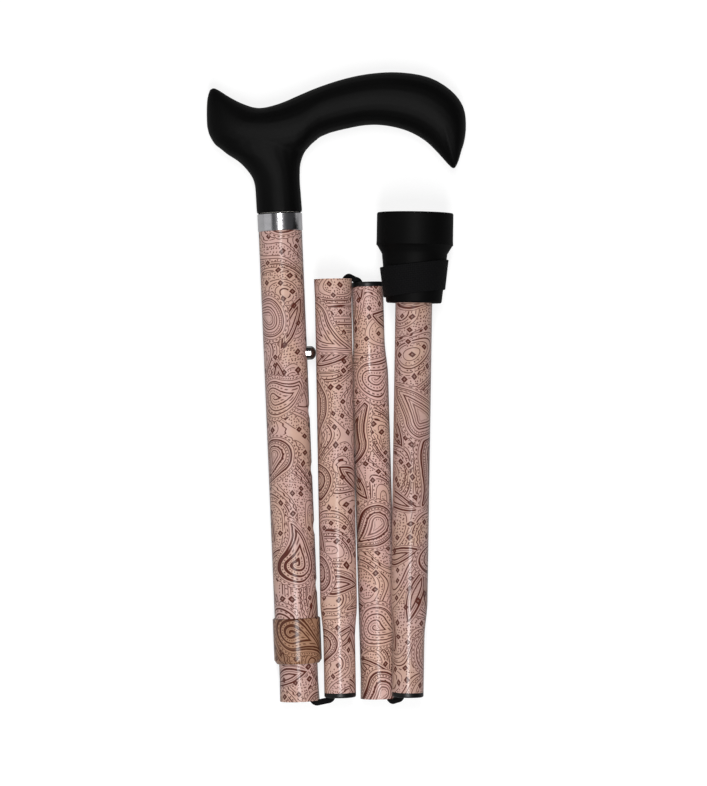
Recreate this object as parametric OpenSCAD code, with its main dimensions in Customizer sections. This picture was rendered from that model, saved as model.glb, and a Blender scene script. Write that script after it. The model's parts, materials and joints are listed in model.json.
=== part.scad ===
// Folding walking cane with a derby handle, shown folded and lying on a table.
// The origin is on the upper shaft's axis, at the lower edge of the polished ring.
// +Y runs along the shaft to the handle, +X to the folded sections, +Z up from the table.
// Each lower section has its own frame: origin at the nose end, body towards -Y, as in the straight cane.

/* [Handle] */
// Height of the grip's crest above the ring's lower edge
handle_h = 67.5; // [62:0.5:80]
// Distance from the shaft's axis to the front of the nose
nose_reach = 83; // [76:1:95]
// Distance from the shaft's axis to the back of the beak
beak_reach = 30; // [26:1:36]
// Thickness of the grip where the palm rests
grip_t = 24; // [21:0.5:30]
// Diameter of the handle's round shank
shank_d = 20; // [19.5:0.1:24]
// Diameter of the polished ring
ring_d = 19.5; // [18.6:0.1:22]
// Height of the polished ring
ring_h = 7.9; // [5:0.1:12]
// Depth of the dowel in the handle
dowel_in_handle = 25; // [18:1:27]
// Depth of the dowel in the outer tube
dowel_in_tube = 28; // [18:1:30]
// Diameter of the screw that holds the dowel in the handle
screw_d = 4; // [3:0.5:5]
// Reach of the screw above the dowel
screw_reach = 14; // [8:1:16]

/* [Upper shaft] */
// Outer diameter of the outer tube
outer_d = 19; // [18.6:0.1:22]
// Wall of the outer tube
outer_wall = 1; // [0.8:0.05:1.2]
// Length of the outer tube below the ring
outer_len = 178; // [170:1:200]
// Number of height holes
hole_count = 5; // [3:1:5]
// Distance from the tube's top to the first height hole
first_hole = 53.5; // [50:0.5:56]
// Distance from the last height hole to the outer tube's end
hole_margin = 22.9; // [21:0.1:30]
// Diameter of the snap button
button_d = 6; // [5:0.1:6.4]
// How far the button stands out of the outer tube
button_out = 3.9; // [2.5:0.1:5]
// Distance from the tube's top to the top of the inner tube
inner_top = 36; // [34:0.5:38]
// Distance from the outer tube's end to the inner tube's mouth at the shortest height
mouth_below = 27; // [25:0.5:37]

/* [Lock collar] */
// Outer diameter of the lock collar
collar_d = 20.8; // [20.4:0.1:24]
// Length of the lock collar
collar_len = 19.9; // [18:0.1:24]
// How far the collar reaches up over the outer tube
collar_over = 9.3; // [8.6:0.1:12]
// Length of the turned neck at the outer tube's end
neck_len = 7.8; // [6:0.1:8.4]
// Depth of the turned neck, taken off the tube's radius
neck_cut = 0.4; // [0.3:0.05:0.6]
// Length of the split squeeze ring
squeeze_len = 5.6; // [4:0.1:6.5]
// Width of the slot in the squeeze ring
squeeze_slot = 1.2; // [0.8:0.1:2]

/* [Sections] */
// Outer diameter of the lower tubes
section_d = 16; // [15.4:0.1:16.4]
// Wall of the lower tubes
section_wall = 1; // [0.8:0.05:1.2]
// Length of a middle section from its nose to its mouth
section_len = 182; // [176:1:186]
// How far the ferrule's sole stands above the ring's lower edge when folded
sole_above = 5; // [-1:0.5:8]
// Length of the straight swaged nose, with the plug's lip
nose_len = 25.5; // [20:0.5:30]
// Length of the taper from the nose to the full tube
taper_len = 16; // [10:0.5:20]
// Length of the flared mouth
bell_len = 9; // [6:0.5:12]
// How much the mouth flares, on the radius
bell_out = 0.3; // [0.2:0.05:0.4]
// Thickness of the nose plug's lip
lip_t = 2.1; // [1.5:0.1:3]
// Length of the nose plug inside the tube
plug_len = 12; // [8:1:18]
// Wall of the nose plug
plug_wall = 1.25; // [1:0.05:1.5]

/* [Cord] */
// Diameter of the elastic cord
cord_d = 2.2; // [1.8:0.1:2.4]
// Radius of the cord's bends at a fold
cord_bend = 2; // [1.8:0.1:2.2]
// Length of a cord anchor
anchor_len = 10; // [8:1:14]
// Distance from the tube's top to the upper cord anchor
upper_anchor_at = 96; // [92:1:110]
// Distance from the foot section's nose to the lower cord anchor
lower_anchor_at = 70; // [60:1:90]
// Diameter of a cord knot
knot_d = 6.6; // [5:0.2:7.4]

/* [Fold] */
// Tilt of each section to the one before it, seen from above
fold_lean = [1.38, 0.7, 2.6]; // [0:0.01:4]
// Turn of each fold's plane out of the table's plane
fold_roll = [15.9, 26, 43]; // [0:0.1:50]
// Gap from mouth to nose when a joint is drawn apart
fold_gap = 2.2; // [1.8:0.1:3]
// Distance of the fold's pivot below the mouth
pivot_drop = 0.4; // [0.2:0.1:0.8]
// Room between folded tubes
fold_room = 0.25; // [0.2:0.05:1]

/* [Ferrule] */
// Diameter of the ferrule's base
base_d = 33.4; // [31:0.1:36]
// Height of the ferrule's base
base_h = 14.4; // [10:0.1:16]
// Height of the sloped shoulder above the base
shoulder_h = 3.4; // [2:0.1:4]
// Height of the whole ferrule
ferrule_h = 39; // [37:0.5:42]
// Diameter of the sleeve at the shoulder
sleeve_low_d = 28.4; // [26:0.1:30]
// Diameter of the sleeve at its top
sleeve_top_d = 24.2; // [22:0.1:26]
// Thickness of the sole under the tube
sole_t = 9; // [6:0.5:10]
// Thickness of the steel washer under the tube
washer_t = 1.5; // [1:0.1:2]
// Depth of the grooves in the sole
groove_t = 1.5; // [0.8:0.1:2.5]
// Width of the woven band round the sleeve
band_w = 13; // [10:0.5:14]
// Thickness of the woven band
band_t = 1.1; // [0.8:0.1:1.6]
// Distance from the sole to the middle of the band
band_at = 28.4; // [27:0.1:29]
// Slant of the band on the sleeve, in degrees
band_slant = 7.4; // [0:0.1:9]

/* [Hidden] */

// Clearances on the radius: glued or pressed parts, sliding tubes, slip joints, loose holes
glue_gap = 0.05;
slide_gap = 0.1;
slip_gap = 0.1;
loose_gap = 0.3;

// Lengths that follow from the sizes above: mouth of the inner tube, foot section, height holes
mouth_at = outer_len + mouth_below;
foot_len = mouth_at + sole_above;
hole_pitch = (outer_len - first_hole - hole_margin) / (hole_count - 1);

// Radii that follow from the diameters above
outer_r = outer_d / 2;
outer_bore_r = outer_r - outer_wall;
inner_r = outer_bore_r - slide_gap;
section_r = section_d / 2;
bore_r = section_r - section_wall;
nose_r = bore_r - slip_gap;
mouth_r = section_r + bell_out;
inner_mouth_r = inner_r + bell_out;
dowel_r = outer_bore_r - glue_gap;
ring_bore_r = dowel_r + glue_gap;
shank_r = shank_d / 2;
cord_r = cord_d / 2;
plug_r = nose_r - section_wall - glue_gap;
plug_hole_r = plug_r - plug_wall + glue_gap;
anchor_r = bore_r - glue_gap;
anchor_hole_r = cord_r + 1;
neck_r = outer_r - neck_cut;

// Fold: the side that each section folds to, the distance between folded axes and the angle turned
fold_side = [1, -1, 1];
fold_pitch = [
    (collar_d + section_d) / 2,
    mouth_r + section_r + fold_room,
    mouth_r + section_r + fold_room
];
function fold_splay(k) = fold_lean[k] * cos(fold_roll[k]);
function fold_tilt(k) = -fold_side[k] * fold_lean[k] * sin(fold_roll[k]) / 2;

// Cord: where it leaves a mouth and enters a nose, off the axis, and how far inside it meets the next stretch
cord_at_mouth = bore_r - cord_r - 0.9;
cord_at_nose = plug_hole_r - cord_r - loose_gap;
cord_depth = 4;
cord_end_gap = 0.15;
cord_drop = cord_r + 0.25;

// Snap button and its leaf spring
hole_r = button_d / 2 + 0.1;
button_tip = outer_r + button_out;
flange_r = button_d / 2 + 0.6;
flange_t = 1;
flange_x = sqrt(bore_r * bore_r - flange_r * flange_r) - loose_gap;
spring_w = button_d + 1;
spring_t = 0.7;
spring_len = 36;
spring_top = 7.5;
spring_bend_r = 2.2;
spring_wall_x = sqrt(bore_r * bore_r - spring_w * spring_w / 4) - slip_gap;

// Finish of the mesh and of the round parts
$fn = 72;
ring_pts = 24;
steps_per_row = 3;

// Handle sections. Each row has the outer point x, y and the inner point x, y of an elliptical section,
// and its half thickness. The grip runs from the beak's tip to the nose's tip, the shank from its foot up.
grip_r = grip_t / 2;
grip_rows = [
    [-0.887 * beak_reach, 0.948 * handle_h, -0.94 * beak_reach, 0.936 * handle_h, 0.09 * grip_r],
    [-0.807 * beak_reach, 0.93 * handle_h, -0.98 * beak_reach, 0.881 * handle_h, 0.3 * grip_r],
    [-0.68 * beak_reach, 0.89 * handle_h, -beak_reach, 0.785 * handle_h, 0.54 * grip_r],
    [-0.48 * beak_reach, 0.839 * handle_h, -0.983 * beak_reach, 0.652 * handle_h, 0.78 * grip_r],
    [-0.233 * beak_reach, 0.804 * handle_h, -0.8 * beak_reach, 0.542 * handle_h, 0.93 * grip_r],
    [0.024 * nose_reach, 0.828 * handle_h, -0.26 * beak_reach, 0.46 * handle_h, 0.985 * grip_r],
    [0.133 * nose_reach, 0.879 * handle_h, 0.095 * nose_reach, 0.467 * handle_h, grip_r],
    [0.241 * nose_reach, 0.927 * handle_h, 0.229 * nose_reach, 0.6 * handle_h, grip_r],
    [0.386 * nose_reach, 0.975 * handle_h, 0.398 * nose_reach, 0.652 * handle_h, grip_r],
    [0.53 * nose_reach, 0.999 * handle_h, 0.506 * nose_reach, 0.664 * handle_h, grip_r],
    [0.675 * nose_reach, 0.996 * handle_h, 0.602 * nose_reach, 0.649 * handle_h, 0.985 * grip_r],
    [0.819 * nose_reach, 0.956 * handle_h, 0.699 * nose_reach, 0.61 * handle_h, 0.96 * grip_r],
    [0.928 * nose_reach, 0.868 * handle_h, 0.783 * nose_reach, 0.545 * handle_h, 0.9 * grip_r],
    [0.988 * nose_reach, 0.763 * handle_h, 0.843 * nose_reach, 0.468 * handle_h, 0.79 * grip_r],
    [nose_reach, 0.644 * handle_h, 0.886 * nose_reach, 0.404 * handle_h, 0.62 * grip_r],
    [0.982 * nose_reach, 0.511 * handle_h, 0.911 * nose_reach, 0.369 * handle_h, 0.38 * grip_r],
    [0.924 * nose_reach, 0.364 * handle_h, 0.919 * nose_reach, 0.361 * handle_h, 0.08 * grip_r]
];
shank_rows = [
    [-shank_r, ring_h, shank_r, ring_h, shank_r],
    [-1.01 * shank_r, 0.221 * handle_h, 0.97 * shank_r, 0.221 * handle_h, 0.99 * shank_r],
    [-1.04 * shank_r, 0.314 * handle_h, 0.95 * shank_r, 0.314 * handle_h, 0.98 * shank_r],
    [-1.22 * shank_r, 0.38 * handle_h, 0.97 * shank_r, 0.393 * handle_h, shank_r],
    [-0.56 * beak_reach, 0.461 * handle_h, 1.03 * shank_r, 0.444 * handle_h, 1.04 * shank_r],
    [-0.77 * beak_reach, 0.529 * handle_h, 0.14 * nose_reach, 0.492 * handle_h, 1.08 * shank_r],
    [-0.867 * beak_reach, 0.607 * handle_h, 0.169 * nose_reach, 0.563 * handle_h, 1.1 * shank_r],
    [-0.7 * beak_reach, 0.7 * handle_h, 0.18 * nose_reach, 0.68 * handle_h, shank_r],
    [-0.3 * beak_reach, 0.74 * handle_h, 0.12 * nose_reach, 0.77 * handle_h, 0.6 * shank_r]
];

// Point on a smooth curve through four rows, at share t of the way from b to c
function between(a, b, c, d, t) =
    b + (c - a) * t / 2 + (a - 2.5 * b + 2 * c - d / 2) * t * t + (1.5 * (b - c) + (d - a) / 2) * t * t * t;
function row(rows, i) = rows[max(0, min(len(rows) - 1, i))];
function station(rows, s) =
    let (i = floor(s / steps_per_row), t = s / steps_per_row - i)
    between(row(rows, i - 1), row(rows, i), row(rows, i + 1), row(rows, i + 2), t);

// One ring of points round a handle section, and the middle of it
function section_ring(q) = [
    for (j = [0:ring_pts - 1])
        let (a = 360 * j / ring_pts, u = (1 - cos(a)) / 2)
        [q[2] + (q[0] - q[2]) * u, q[3] + (q[1] - q[3]) * u, q[4] * sin(a)]
];
function section_middle(q) = [(q[0] + q[2]) / 2, (q[1] + q[3]) / 2, 0];

// Smooth step from 0 to 1
function ease(t) = (1 - cos(180 * t)) / 2;

// Radius of a section's outside over its nose and taper, at share t of the taper
function taper_r(t) = nose_r + (section_r - nose_r) * ease(t);
taper_steps = 6;

// Radius of the ferrule's sleeve at a distance from the sole
function sleeve_r(h) =
    let (low = base_h + shoulder_h)
    (sleeve_low_d + (sleeve_top_d - sleeve_low_d) * (h - low) / (ferrule_h - low)) / 2;

// Turns a shape that is drawn round +Z so that +Z runs down the shaft, towards -Y
module down_shaft() rotate([90, 0, 0]) children();

// Revolves a profile of [radius, distance down the shaft] points
module revolve(profile) down_shaft() rotate_extrude() polygon(profile);

// Plain round bar between two points
module bar(a, b, r) {
    v = b - a;
    translate(a) rotate([0, acos(v[2] / norm(v)), atan2(v[1], v[0])]) cylinder(h = norm(v), r = r);
}

// Puts what follows in the frame of the section after fold k, which starts at the mouth of the section before it
module next_section(k, mouth) {
    side = fold_side[k];
    translate([0, -mouth - pivot_drop, 0])
    rotate([0, -fold_roll[k], 0])
    rotate([fold_tilt(k), 0, 0])
    translate([side * fold_pitch[k] / 2, 0, 0])
    rotate([0, 0, side * (180 - fold_splay(k))])
    translate([-side * fold_pitch[k] / 2, 0, 0])
    rotate([-fold_tilt(k), 0, 0])
    rotate([0, -fold_roll[k], 0])
    translate([0, pivot_drop - fold_gap, 0])
    children();
}

module in_second() next_section(0, mouth_at) children();
module in_third() in_second() next_section(1, section_len) children();
module in_foot() in_third() next_section(2, section_len) children();

// Point in a section's own frame, off its axis towards the fold's side, at a distance down the shaft
function beside(k, off, down) =
    [fold_side[k] * off * cos(fold_roll[k]), -down, fold_side[k] * off * sin(fold_roll[k])];

// The same on the nose's side, in the frame of the section after the fold
function beside_nose(k, off, down) =
    [fold_side[k] * off * cos(fold_roll[k]), -down, -fold_side[k] * off * sin(fold_roll[k])];

// Smooth closed loft through a list of handle sections
module loft(rows) {
    n = ring_pts;
    last = steps_per_row * (len(rows) - 1);
    first_end = (last + 1) * n;
    points = concat(
        [for (s = [0:last]) each section_ring(station(rows, s))],
        [section_middle(station(rows, 0)), section_middle(station(rows, last))]
    );
    sides = [
        for (s = [0:last - 1], j = [0:n - 1])
            let (a = s * n + j, b = s * n + (j + 1) % n)
            each [[a, b, b + n], [a, b + n, a + n]]
    ];
    ends = [
        for (j = [0:n - 1])
            let (k = (j + 1) % n)
            each [[first_end, k, j], [first_end + 1, last * n + j, last * n + k]]
    ];
    polyhedron(points, concat(sides, ends));
}

// Derby handle: a curved grip with beak and nose on a shank that widens into it
module handle_grip() color([0.05, 0.05, 0.055]) difference() {
    union() {
        mirror([0, 0, 1]) loft(grip_rows);
        loft(shank_rows);
    }
    translate([0, ring_h + dowel_in_handle + glue_gap, 0])
        down_shaft() cylinder(h = dowel_in_handle + 1, r = dowel_r + glue_gap);
    translate([0, ring_h + dowel_in_handle + screw_reach + 1, 0])
        down_shaft() cylinder(h = screw_reach + 2, r = screw_d / 2 + glue_gap);
}

// Dowel that joins the handle, the ring and the outer tube
module handle_core() color([0.75, 0.73, 0.68]) difference() {
    translate([0, ring_h + dowel_in_handle, 0])
        down_shaft() cylinder(h = dowel_in_handle + ring_h + dowel_in_tube, r = dowel_r);
    translate([0, ring_h + dowel_in_handle + 1, 0])
        down_shaft() cylinder(h = dowel_in_handle + ring_h + dowel_in_tube + 2, r = screw_d / 2 + glue_gap);
}

// Long screw through the dowel into the handle, with its head under the dowel
module handle_screw() color([0.62, 0.63, 0.65]) {
    head_t = 2.4;
    top = ring_h + dowel_in_handle + screw_reach;
    translate([0, -dowel_in_tube, 0]) down_shaft() cylinder(h = head_t, r = screw_d);
    translate([0, top, 0]) down_shaft() cylinder(h = top + dowel_in_tube, r = screw_d / 2);
}

// Polished ring between the handle and the shaft
module handle_ring() color([0.8, 0.81, 0.83]) {
    edge = 0.4;
    r = ring_d / 2;
    revolve([
        [ring_bore_r, 0], [r - edge, 0], [r, -edge],
        [r, edge - ring_h], [r - edge, -ring_h], [ring_bore_r, -ring_h]
    ]);
}

// Outer tube with its row of height holes and the turned neck under the lock collar
module outer_tube() color([0.84, 0.7, 0.62]) difference() {
    revolve([
        [outer_bore_r, 0], [outer_r, 0], [outer_r, outer_len - neck_len],
        [neck_r, outer_len - neck_len], [neck_r, outer_len], [outer_bore_r, outer_len]
    ]);
    for (k = [0:hole_count - 1])
        translate([0, -first_hole - k * hole_pitch, 0])
            rotate([0, 90, 0]) cylinder(h = 2 * outer_r, r = hole_r);
}

// Split nylon ring that the collar squeezes onto the inner tube
module squeeze_ring() color([0.9, 0.9, 0.88]) {
    top = outer_len + slide_gap;
    difference() {
        revolve([
            [inner_r + glue_gap, top], [neck_r, top], [neck_r, top + squeeze_len / 2],
            [inner_r + loose_gap, top + squeeze_len], [inner_r + glue_gap, top + squeeze_len]
        ]);
        translate([-squeeze_slot / 2, -top - squeeze_len - 1, 0])
            cube([squeeze_slot, squeeze_len + 2, outer_r]);
    }
}

// Lock collar: a nut on the tube's neck with a cone that closes the squeeze ring
module lock_collar() color([0.72, 0.55, 0.42]) {
    r = collar_d / 2;
    top = outer_len - collar_over;
    end = top + collar_len;
    seat = outer_len + slide_gap + squeeze_len / 2;
    cone = seat + squeeze_len / 2;
    edge = 0.5;
    chamfer = 1.6;
    revolve([
        [outer_r + slide_gap, top], [r - edge, top], [r, top + edge],
        [r, end - chamfer], [r - chamfer + edge, end], [inner_r + slip_gap + glue_gap, end],
        [inner_r + slip_gap + glue_gap, cone + 2 * slide_gap], [inner_r + loose_gap + slide_gap, cone + slide_gap],
        [neck_r + slide_gap, seat + glue_gap], [neck_r + slide_gap, outer_len - neck_len + 1.8],
        [outer_r + slide_gap, outer_len - neck_len + 1.8]
    ]);
}

// Inner tube with the button's hole and the flared mouth
module inner_tube() color([0.84, 0.7, 0.62]) difference() {
    revolve([
        [bore_r, inner_top], [inner_r, inner_top], [inner_r, mouth_at - bell_len],
        [inner_mouth_r, mouth_at], [bore_r + bell_out, mouth_at], [bore_r, mouth_at - bell_len]
    ]);
    translate([0, -first_hole, 0]) rotate([0, 90, 0]) cylinder(h = 2 * inner_r, r = hole_r);
}

// Nylon bush that guides the inner tube's top end in the outer tube
module guide_bush() color([0.12, 0.12, 0.12]) {
    flange = 2;
    skirt = 6;
    guide_r = outer_bore_r - glue_gap;
    revolve([
        [bore_r - 2, inner_top - flange], [guide_r, inner_top - flange], [guide_r, inner_top],
        [bore_r - glue_gap, inner_top], [bore_r - glue_gap, inner_top + skirt], [bore_r - 2, inner_top + skirt]
    ]);
}

// Leaf spring behind the snap button: two leaves joined by a round bend
module snap_spring() color([0.6, 0.62, 0.65]) {
    top = -first_hole + spring_top;
    bend = top - spring_len;
    press_x = flange_x - flange_t - slip_gap;
    lift_x = spring_bend_r + (press_x - spring_bend_r) * spring_len / (spring_len - spring_top + flange_r);
    arc = [for (a = [0:-15:-180]) [cos(a), sin(a)]];
    linear_extrude(height = spring_w, center = true) polygon(concat(
        [[lift_x - spring_t, top], [lift_x, top]],
        [for (q = arc) [0, bend] + spring_bend_r * q],
        [[-spring_wall_x, top], [spring_t - spring_wall_x, top]],
        [for (q = reversed(arc)) [0, bend] + (spring_bend_r - spring_t) * q]
    ));
}

// Steel snap button: a stud with a domed end and a flange that holds it in the inner tube
module snap_button() color([0.7, 0.71, 0.73]) {
    r = button_d / 2;
    dome = 1.2;
    back = flange_x - flange_t;
    translate([0, -first_hole, 0]) rotate([0, 90, 0]) rotate_extrude() polygon(concat(
        [[0, back], [flange_r, back], [flange_r, flange_x], [r, flange_x]],
        [for (a = [0:15:90]) [r - dome + dome * cos(a), button_tip - dome + dome * sin(a)]],
        [[0, button_tip]]
    ));
}

// Plug with a hole for the cord, glued in a tube
module cord_anchor(at) revolve([
    [anchor_hole_r, at], [anchor_r, at], [anchor_r, at + anchor_len], [anchor_hole_r, at + anchor_len]
]);

module cord_anchor_upper() color([0.15, 0.15, 0.15]) cord_anchor(upper_anchor_at);
module cord_anchor_lower() color([0.15, 0.15, 0.15]) in_foot() cord_anchor(lower_anchor_at);

// Knot in the cord: a round lump with a waist, drawn from its seat up by sign
module cord_knot(at, sign) {
    r = knot_d / 2;
    half = r / 2;
    revolve(concat(
        [[0, at]],
        [for (a = [-75:15:90]) [r - half + half * cos(a), at + sign * (half + half * sin(a))]],
        [for (a = [-90:15:90])
            [0.6 * r - 0.4 * half + 0.4 * half * cos(a), at + sign * (2.4 * half + 0.4 * half * sin(a))]],
        [[0, at + sign * 2.8 * half]]
    ));
}

module cord_knot_upper() color([0.08, 0.08, 0.08]) cord_knot(upper_anchor_at, -1);
module cord_knot_lower() color([0.08, 0.08, 0.08]) in_foot() cord_knot(lower_anchor_at + anchor_len, 1);

// Straight stretches of the cord inside the tubes
module cord_upper() color([0.08, 0.08, 0.08])
    bar(
        [0, -upper_anchor_at - cord_end_gap, 0],
        beside(0, cord_at_mouth, mouth_at - cord_depth - cord_end_gap),
        cord_r
    );

// Stretch of the cord through a middle section, from its nose to its mouth
module cord_through(k) bar(
    beside_nose(k, -cord_at_nose, cord_depth + cord_end_gap),
    beside(k + 1, cord_at_mouth, section_len - cord_depth - cord_end_gap),
    cord_r
);

module cord_second() color([0.08, 0.08, 0.08]) in_second() cord_through(0);
module cord_third() color([0.08, 0.08, 0.08]) in_third() cord_through(1);
module cord_foot() color([0.08, 0.08, 0.08]) in_foot() bar(
    beside_nose(2, -cord_at_nose, cord_depth + cord_end_gap),
    [0, cord_end_gap - lower_anchor_at - anchor_len, 0],
    cord_r
);

// Cord at fold k: out of the mouth, over the two rims and into the next nose
module cord_fold(k, mouth) {
    x_in = cord_at_mouth;
    x_out = fold_pitch[k] - cord_at_nose;
    low = -cord_drop;
    turn = low + cord_bend;
    translate([0, -mouth, 0]) rotate([0, -fold_roll[k], 0]) mirror([fold_side[k] < 0 ? 1 : 0, 0, 0]) {
        bar([x_in, cord_depth, 0], [x_in, turn, 0], cord_r);
        translate([x_in + cord_bend, turn, 0]) rotate([0, 0, 180])
            rotate_extrude(angle = 90) translate([cord_bend, 0]) circle(r = cord_r);
        bar([x_in + cord_bend, low, 0], [x_out - cord_bend, low, 0], cord_r);
        translate([x_out - cord_bend, turn, 0]) rotate([0, 0, 270])
            rotate_extrude(angle = 90) translate([cord_bend, 0]) circle(r = cord_r);
        bar([x_out, turn, 0], [x_out, cord_depth, 0], cord_r);
    }
}

module cord_fold_1() color([0.08, 0.08, 0.08]) cord_fold(0, mouth_at);
module cord_fold_2() color([0.08, 0.08, 0.08]) in_second() cord_fold(1, section_len);
module cord_fold_3() color([0.08, 0.08, 0.08]) in_third() cord_fold(2, section_len);

// Outside of a section's nose and taper, from the plug's lip to the full tube, moved in by inset
function nose_side(inset) = concat(
    [[nose_r - inset, lip_t]],
    [for (i = [0:taper_steps]) [taper_r(i / taper_steps) - inset, nose_len + taper_len * i / taper_steps]]
);
function reversed(list) = [for (i = [len(list) - 1:-1:0]) list[i]];

// Middle tube: swaged nose, taper, full tube and flared mouth
module section_tube() revolve(concat(
    nose_side(0),
    [[section_r, section_len - bell_len], [mouth_r, section_len]],
    [[bore_r + bell_out, section_len], [bore_r, section_len - bell_len]],
    reversed(nose_side(section_wall))
));

module second_tube() color([0.84, 0.7, 0.62]) in_second() section_tube();
module third_tube() color([0.84, 0.7, 0.62]) in_third() section_tube();

// Foot tube: swaged nose and a plain end that stands on the washer in the ferrule
tube_end = foot_len - sole_t - washer_t;
module foot_tube() color([0.84, 0.7, 0.62]) in_foot() revolve(concat(
    nose_side(0),
    [[section_r, tube_end], [bore_r, tube_end]],
    reversed(nose_side(section_wall))
));

// Nose plug: a rounded lip on the tube's end and a skirt inside it
module nose_plug() {
    edge = 0.7;
    revolve(concat(
        [[plug_hole_r, edge]],
        [for (a = [180:30:270]) [plug_hole_r + edge + edge * cos(a), edge + edge * sin(a)]],
        [for (a = [270:30:360]) [nose_r - edge + edge * cos(a), edge + edge * sin(a)]],
        [[nose_r, lip_t], [plug_r, lip_t], [plug_r, lip_t + plug_len], [plug_hole_r, lip_t + plug_len]]
    ));
}

module nose_plug_1() color([0.06, 0.06, 0.06]) in_second() nose_plug();
module nose_plug_2() color([0.06, 0.06, 0.06]) in_third() nose_plug();
module nose_plug_3() color([0.06, 0.06, 0.06]) in_foot() nose_plug();

// Rubber ferrule: sleeve, sloped shoulder, wide base and a grooved sole
module ferrule() color([0.05, 0.05, 0.05]) in_foot() {
    base_r = base_d / 2;
    socket_r = section_r + glue_gap;
    edge = 1;
    groove_w = 1.6;
    inner_groove = 0.36 * base_r;
    outer_groove = 0.66 * base_r;
    sole = foot_len;
    difference() {
        revolve([
            [0, sole - sole_t], [socket_r, sole - sole_t],
            [socket_r, sole - ferrule_h + edge], [socket_r + edge / 2, sole - ferrule_h],
            [sleeve_r(ferrule_h) - edge / 2, sole - ferrule_h],
            [sleeve_r(ferrule_h), sole - ferrule_h + edge / 2],
            [sleeve_r(base_h + shoulder_h), sole - base_h - shoulder_h],
            [base_r - edge / 2, sole - base_h], [base_r, sole - base_h + edge / 2],
            [base_r - edge / 2, sole - edge], [base_r - 1.5 * edge, sole], [0, sole]
        ]);
        for (r = [inner_groove, outer_groove])
            revolve([
                [r, sole - groove_t], [r + groove_w, sole - groove_t], [r + groove_w, sole + 1], [r, sole + 1]
            ]);
    }
}

// Steel washer that keeps the tube from cutting through the sole
module ferrule_washer() color([0.6, 0.61, 0.63]) in_foot()
    translate([0, -tube_end, 0]) down_shaft() cylinder(h = washer_t, r = section_r - glue_gap);

// Woven elastic band, slanted round the ferrule's sleeve
module storage_band() color([0.03, 0.03, 0.03]) in_foot() intersection() {
    high = ferrule_h - 0.2;
    low = base_h + shoulder_h + 0.2;
    revolve([
        [sleeve_r(high) + slip_gap, foot_len - high], [sleeve_r(high) + slip_gap + band_t, foot_len - high],
        [sleeve_r(low) + slip_gap + band_t, foot_len - low], [sleeve_r(low) + slip_gap, foot_len - low]
    ]);
    translate([0, band_at - foot_len, 0]) rotate([0, 0, -band_slant])
        cube([2 * base_d, band_w, 2 * base_d], center = true);
}

handle_grip();
handle_core();
handle_screw();
handle_ring();
outer_tube();
squeeze_ring();
lock_collar();
inner_tube();
guide_bush();
snap_spring();
snap_button();
cord_anchor_upper();
cord_knot_upper();
cord_upper();
cord_fold_1();
second_tube();
nose_plug_1();
cord_second();
cord_fold_2();
third_tube();
nose_plug_2();
cord_third();
cord_fold_3();
foot_tube();
nose_plug_3();
cord_foot();
cord_anchor_lower();
cord_knot_lower();
ferrule();
ferrule_washer();
storage_band();
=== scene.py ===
"""Looks of a folding walking cane: prints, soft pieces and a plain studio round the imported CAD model."""

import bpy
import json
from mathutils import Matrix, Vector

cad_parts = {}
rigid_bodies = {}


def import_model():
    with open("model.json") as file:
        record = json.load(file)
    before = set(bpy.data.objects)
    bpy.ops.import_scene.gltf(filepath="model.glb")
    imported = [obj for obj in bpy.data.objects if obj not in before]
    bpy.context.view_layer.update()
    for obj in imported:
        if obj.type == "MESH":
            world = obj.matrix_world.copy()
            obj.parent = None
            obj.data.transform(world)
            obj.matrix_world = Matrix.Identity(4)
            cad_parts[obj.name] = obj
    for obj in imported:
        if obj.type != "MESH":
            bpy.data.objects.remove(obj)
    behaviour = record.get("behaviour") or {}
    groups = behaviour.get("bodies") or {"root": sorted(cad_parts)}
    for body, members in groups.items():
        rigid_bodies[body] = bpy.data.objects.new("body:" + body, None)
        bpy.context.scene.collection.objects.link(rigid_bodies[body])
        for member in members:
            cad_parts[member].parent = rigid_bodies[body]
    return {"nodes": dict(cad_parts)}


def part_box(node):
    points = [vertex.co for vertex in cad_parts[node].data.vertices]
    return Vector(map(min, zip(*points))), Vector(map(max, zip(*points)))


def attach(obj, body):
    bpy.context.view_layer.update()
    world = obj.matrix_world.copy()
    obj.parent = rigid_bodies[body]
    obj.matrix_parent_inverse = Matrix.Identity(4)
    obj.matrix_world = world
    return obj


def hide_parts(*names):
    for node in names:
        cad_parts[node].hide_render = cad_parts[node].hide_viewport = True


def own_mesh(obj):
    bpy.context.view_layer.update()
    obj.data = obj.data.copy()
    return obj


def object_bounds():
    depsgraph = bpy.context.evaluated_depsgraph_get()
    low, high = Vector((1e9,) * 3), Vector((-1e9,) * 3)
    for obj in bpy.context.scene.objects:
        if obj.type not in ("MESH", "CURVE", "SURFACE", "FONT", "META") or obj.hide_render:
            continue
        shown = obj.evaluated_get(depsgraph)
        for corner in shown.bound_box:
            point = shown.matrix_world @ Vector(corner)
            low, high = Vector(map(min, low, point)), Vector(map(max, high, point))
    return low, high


bl_info = {
    "name": "Folding Cane Looks",
    "version": (1, 0, 0),
    "blender": (4, 5, 0),
    "location": "View3D > Sidebar > Cane",
    "description": "Paisley tubes, handle, cord, band and studio for the folding cane",
    "category": "Object",
}

import json
import math

import bpy
from mathutils import Matrix, Vector

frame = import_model()
CAD_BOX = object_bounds()
NODES = frame["nodes"]
FLOOR_Z = CAD_BOX[0].z

# Doubled vertices closer than this are merged, and faces that meet at less than this angle are shaded smooth
MERGE_REACH, SMOOTH_ANGLE = 0.000002, math.radians(32)

# A point on the shaft's axis, and the axis
SHAFT_POINT, SHAFT_AXIS = (0, 0, 0), (0, 1, 0)

# Radius of a folding section and of its nose, and between which places along it the nose widens, in mm
SECTION_MM, NOSE_MM, TAPER_MM = 8.0, 6.9, (25.5, 41.5)

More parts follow.
